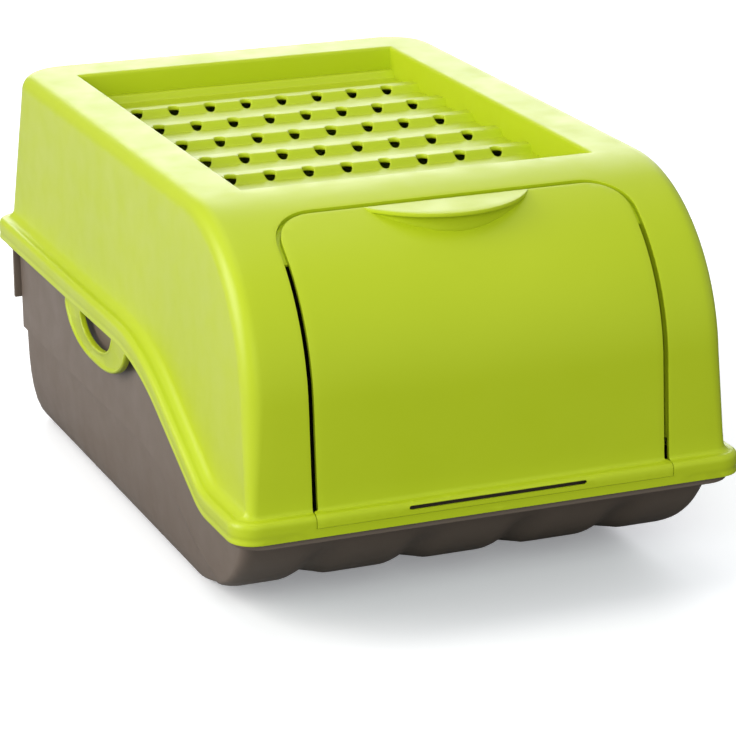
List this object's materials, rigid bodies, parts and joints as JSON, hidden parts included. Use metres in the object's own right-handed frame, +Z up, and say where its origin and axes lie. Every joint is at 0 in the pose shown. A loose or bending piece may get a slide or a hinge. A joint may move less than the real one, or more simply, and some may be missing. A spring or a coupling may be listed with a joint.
{
  "type": "potato storage bin",
  "caption": "Kitchen vegetable keeper: deep tub, lift-off domed hood with vented recess, fold-down front flap and a hinged finger clip on each side.",
  "frame": {"origin": "under the middle of the bin, on the surface that it stands on", "axes": "+X to the bin's right as seen from behind the flap looking at the back wall, +Y from the flap to the back, +Z up"},
  "size_m": [0.27, 0.406, 0.208],
  "materials": {
    "lime_plastic": "satin moulded polypropylene",
    "taupe_plastic": "satin moulded polypropylene"
  },
  "bodies": {
    "tub": {"tub": "taupe_plastic"},
    "lid": {"lid": "lime_plastic"},
    "flap": {"flap": "lime_plastic"},
    "clip_left": {"clip_left": "lime_plastic"},
    "clip_right": {"clip_right": "lime_plastic"}
  },
  "joints": [
    {"name": "lid_lift", "type": "slide", "parent": "tub", "child": "lid", "axis": [0, 0, 1], "range_m": [0, 0.12]},
    {"name": "flap_hinge", "type": "hinge", "parent": "lid", "child": "flap", "pos_m": [0, -0.1998, 0.0698], "axis": [1, 0, 0], "range_deg": [0, 95]},
    {"name": "clip_left_hinge", "type": "hinge", "parent": "lid", "child": "clip_left", "pos_m": [-0.1296, 0.025, 0.113], "axis": [0, 1, 0], "range_deg": [0, 25]},
    {"name": "clip_right_hinge", "type": "hinge", "parent": "lid", "child": "clip_right", "pos_m": [0.1296, 0.025, 0.113], "axis": [0, -1, 0], "range_deg": [0, 25]}
  ]
}
